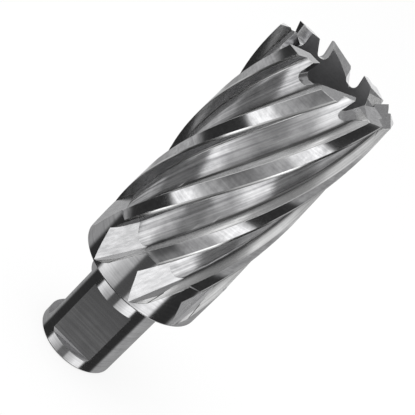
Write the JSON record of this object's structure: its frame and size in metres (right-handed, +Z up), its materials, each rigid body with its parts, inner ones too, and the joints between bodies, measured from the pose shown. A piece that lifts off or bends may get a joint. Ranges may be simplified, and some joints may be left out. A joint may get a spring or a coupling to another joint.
{
  "type": "annular cutter",
  "caption": "Hollow core drill with a flatted straight shank, a round collar, helical flutes and ground cutting teeth around an open bore, for cutting large holes in metal.",
  "frame": {"origin": "centre of the flat end of the shank, on the cutter's axis, where it stands", "axes": "Z up along the cutter's axis from the shank end to the teeth; the two shank flats face -X and -Y"},
  "size_m": [0.03, 0.03, 0.0869],
  "materials": {
    "steel": "bright ground tool steel, turned and ground marks"
  },
  "bodies": {
    "root": {"annular_cutter": "steel"}
  },
  "joints": []
}
